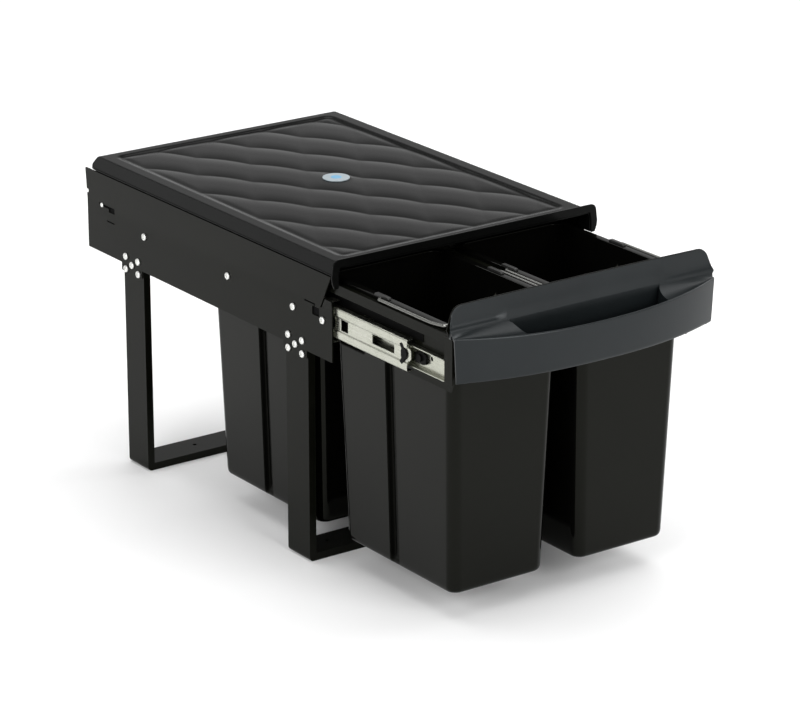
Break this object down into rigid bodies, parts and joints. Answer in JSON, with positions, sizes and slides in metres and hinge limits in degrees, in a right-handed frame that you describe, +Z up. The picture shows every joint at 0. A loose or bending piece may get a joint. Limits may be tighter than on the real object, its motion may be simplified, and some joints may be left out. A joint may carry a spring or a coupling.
{
  "type": "pull-out waste separation unit",
  "caption": "Under-counter pull-out waste unit: steel frame on U legs, quilted lid, bowed handle drawer on ball-bearing slides with lift-out bins and wire bails.",
  "frame": {"origin": "on the floor under the centre of the bounding box with the drawer part open, as stored", "axes": "+Z up, the drawer pulls out along -Y, +X to the right seen from the front"},
  "size_m": [0.3446, 0.7226, 0.355],
  "materials": {
    "black_steel": "satin powder coat, black",
    "lid_plastic": "satin black moulding with quilted field",
    "badge_plastic": "plain pale disc",
    "zinc": "bright zinc plate",
    "handle_plastic": "satin blue-black moulding",
    "bin_plastic": "glossy black moulding",
    "bail_wire": "bright wire",
    "trim_plastic": "black moulded trim"
  },
  "bodies": {
    "cabinet_frame": {"side_panel_left": "black_steel", "side_panel_right": "black_steel", "leg_front": "black_steel", "leg_rear": "black_steel", "leg_screws_front_left": "zinc", "leg_screws_rear_left": "zinc", "slide_screw_1_left": "zinc", "slide_screw_2_left": "zinc", "slide_screw_3_left": "zinc", "slide_screw_4_left": "zinc", "panel_rivet_left": "zinc", "slide_outer_left": "zinc", "leg_screws_front_right": "zinc", "leg_screws_rear_right": "zinc", "slide_screw_1_right": "zinc", "slide_screw_2_right": "zinc", "slide_screw_3_right": "zinc", "slide_screw_4_right": "zinc", "panel_rivet_right": "zinc", "slide_outer_right": "zinc", "lid": "lid_plastic", "lid_badge": "badge_plastic"},
    "drawer": {"drawer_ring": "black_steel", "handle_panel": "handle_plastic", "handle_screw_1": "zinc", "handle_screw_2": "zinc", "handle_screw_3": "zinc", "handle_screw_4": "zinc", "slide_inner_left": "zinc", "slide_lever_left": "trim_plastic", "slide_inner_right": "zinc", "slide_lever_right": "trim_plastic"},
    "slide_middles": {"slide_middle_left": "zinc", "slide_clip_left": "trim_plastic", "slide_middle_right": "zinc", "slide_clip_right": "trim_plastic"},
    "outer_cages": {"cage_outer_upper_left": "zinc", "cage_outer_lower_left": "zinc", "cage_outer_upper_right": "zinc", "cage_outer_lower_right": "zinc"},
    "inner_cages": {"cage_inner_upper_left": "zinc", "cage_inner_lower_left": "zinc", "cage_inner_upper_right": "zinc", "cage_inner_lower_right": "zinc"},
    "bin_front_left_body": {"bin_front_left": "bin_plastic"},
    "bail_front_left_body": {"bail_front_left": "bail_wire"},
    "bin_front_right_body": {"bin_front_right": "bin_plastic"},
    "bail_front_right_body": {"bail_front_right": "bail_wire"},
    "bin_rear_left_body": {"bin_rear_left": "bin_plastic"},
    "bail_rear_left_body": {"bail_rear_left": "bail_wire"},
    "bin_rear_right_body": {"bin_rear_right": "bin_plastic"},
    "bail_rear_right_body": {"bail_rear_right": "bail_wire"}
  },
  "joints": [
    {"name": "drawer_slide", "type": "slide", "parent": "cabinet_frame", "child": "drawer", "axis": [0, -1, 0], "range_m": [-0.188, 0.28]},
    {"name": "middle_slide", "type": "slide", "parent": "cabinet_frame", "child": "slide_middles", "axis": [0, -1, 0], "range_m": [-0.1271, 0.1893]},
    {"name": "outer_cage_slide", "type": "slide", "parent": "cabinet_frame", "child": "outer_cages", "axis": [0, -1, 0], "range_m": [-0.0636, 0.0947]},
    {"name": "inner_cage_slide", "type": "slide", "parent": "cabinet_frame", "child": "inner_cages", "axis": [0, -1, 0], "range_m": [-0.1576, 0.2347]},
    {"name": "bin_front_left_lift", "type": "slide", "parent": "drawer", "child": "bin_front_left_body", "axis": [0, 0, 1], "range_m": [0, 0.006]},
    {"name": "bail_front_left_swing", "type": "hinge", "parent": "bin_front_left_body", "child": "bail_front_left_body", "pos_m": [-0.08025, -0.1927, 0.3249], "axis": [-1, 0, 0], "range_deg": [0, 135]},
    {"name": "bin_front_right_lift", "type": "slide", "parent": "drawer", "child": "bin_front_right_body", "axis": [0, 0, 1], "range_m": [0, 0.006]},
    {"name": "bail_front_right_swing", "type": "hinge", "parent": "bin_front_right_body", "child": "bail_front_right_body", "pos_m": [0.08025, -0.1927, 0.3249], "axis": [-1, 0, 0], "range_deg": [0, 135]},
    {"name": "bin_rear_left_lift", "type": "slide", "parent": "drawer", "child": "bin_rear_left_body", "axis": [0, 0, 1], "range_m": [0, 0.006]},
    {"name": "bail_rear_left_swing", "type": "hinge", "parent": "bin_rear_left_body", "child": "bail_rear_left_body", "pos_m": [-0.08025, 0.0416, 0.3249], "axis": [-1, 0, 0], "range_deg": [0, 2.5]},
    {"name": "bin_rear_right_lift", "type": "slide", "parent": "drawer", "child": "bin_rear_right_body", "axis": [0, 0, 1], "range_m": [0, 0.006]},
    {"name": "bail_rear_right_swing", "type": "hinge", "parent": "bin_rear_right_body", "child": "bail_rear_right_body", "pos_m": [0.08025, 0.0416, 0.3249], "axis": [-1, 0, 0], "range_deg": [0, 2.5]}
  ],
  "couplings": [
    {"joint": "middle_slide", "follows": "drawer_slide", "ratio": 0.6755},
    {"joint": "outer_cage_slide", "follows": "drawer_slide", "ratio": 0.33775},
    {"joint": "inner_cage_slide", "follows": "drawer_slide", "ratio": 0.83775}
  ]
}
